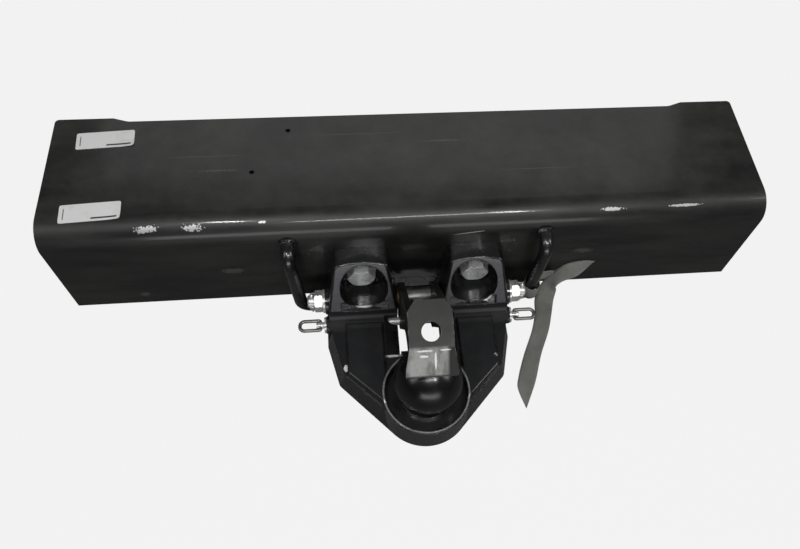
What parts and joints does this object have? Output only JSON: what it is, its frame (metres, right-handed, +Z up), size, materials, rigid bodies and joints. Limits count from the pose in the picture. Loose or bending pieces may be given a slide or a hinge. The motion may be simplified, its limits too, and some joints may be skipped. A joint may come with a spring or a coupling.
{
  "type": "tow ball hitch",
  "caption": "Rear crossmember with a bolted-on ball carrier, a tow ball in a round well, a hinged hold-down over the ball, swinging retaining loops and bent-bar eyes for the safety chains.",
  "frame": {"origin": "centre of the tow ball", "axes": "+X to the right for someone behind the vehicle, along the beam; +Y towards the vehicle; +Z up"},
  "size_m": [0.86, 0.3885, 0.173],
  "materials": {
    "beam_paint": "satin",
    "carrier_paint": "gloss",
    "hold_down_paint": "satin",
    "ball_steel": "gloss",
    "zinc": "satin",
    "worn_steel": "satin",
    "bronze": "satin",
    "pad_plastic": "matte",
    "tape": "matte"
  },
  "bodies": {
    "frame": {"crossmember_beam": "beam_paint", "right_rail_bracket": "beam_paint", "left_rail_bracket": "beam_paint", "right_gusset": "beam_paint", "left_gusset": "beam_paint", "backing_plate": "beam_paint", "ball_carrier": "carrier_paint", "right_carrier_arm": "carrier_paint", "left_carrier_arm": "carrier_paint", "carrier_web": "carrier_paint", "tow_ball": "ball_steel", "ball_nut": "zinc", "ball_lock_washer": "zinc", "upper_bolts": "zinc", "upper_washers": "zinc", "upper_nuts": "zinc", "lower_bolts": "zinc", "lower_washers": "zinc", "pivot_pin": "zinc", "pivot_nuts": "zinc", "pivot_washers": "zinc", "pivot_split_pins": "zinc", "pivot_spacer": "worn_steel", "stop_pin": "zinc", "stop_pin_washers": "zinc", "right_chain_eye": "carrier_paint", "left_chain_eye": "carrier_paint", "tape_strip": "tape"},
    "hold_down_body": {"hold_down": "hold_down_paint", "wear_pad": "pad_plastic", "pivot_bushes": "bronze"},
    "right_loop_body": {"right_retaining_loop": "worn_steel"},
    "left_loop_body": {"left_retaining_loop": "worn_steel"}
  },
  "joints": [
    {"name": "hold_down_pivot", "type": "hinge", "parent": "frame", "child": "hold_down_body", "pos_m": [0, 0.126, -0.032], "axis": [-1, 0, 0], "range_deg": [0, 40]},
    {"name": "right_loop_swing", "type": "hinge", "parent": "frame", "child": "right_loop_body", "pos_m": [0.1237, 0.101, -0.05], "axis": [0, 1, 0], "range_deg": [-85, 85]},
    {"name": "left_loop_swing", "type": "hinge", "parent": "frame", "child": "left_loop_body", "pos_m": [-0.1237, 0.101, -0.05], "axis": [0, 1, 0], "range_deg": [-85, 85]}
  ]
}
